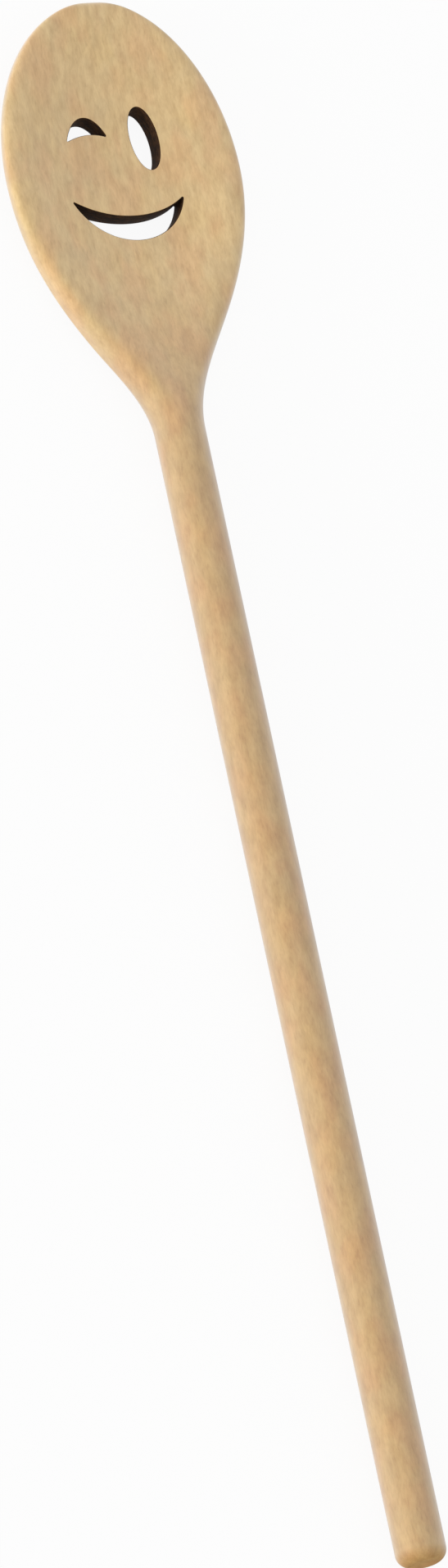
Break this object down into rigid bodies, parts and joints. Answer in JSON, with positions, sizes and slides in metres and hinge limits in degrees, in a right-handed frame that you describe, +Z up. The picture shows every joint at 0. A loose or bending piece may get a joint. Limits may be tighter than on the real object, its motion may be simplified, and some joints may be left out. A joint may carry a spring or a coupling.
{
  "type": "wooden spoon",
  "caption": "Wooden cooking spoon with a long round handle and a shallow oval bowl, pierced by a winking, smiling face.",
  "frame": {"origin": "centre of the spoon's footprint on the surface that it lies on: halfway along its length, on its centre plane, level with the lowest point of the belly", "axes": "+Y along the handle towards the bowl's tip, +Z up out of the bowl's hollow side, +X towards the open eye"},
  "size_m": [0.0538, 0.35, 0.0119],
  "materials": {
    "beech": "bare sanded beech, dry and unvarnished"
  },
  "bodies": {
    "root": {"bowl": "beech", "handle": "beech"}
  },
  "joints": []
}
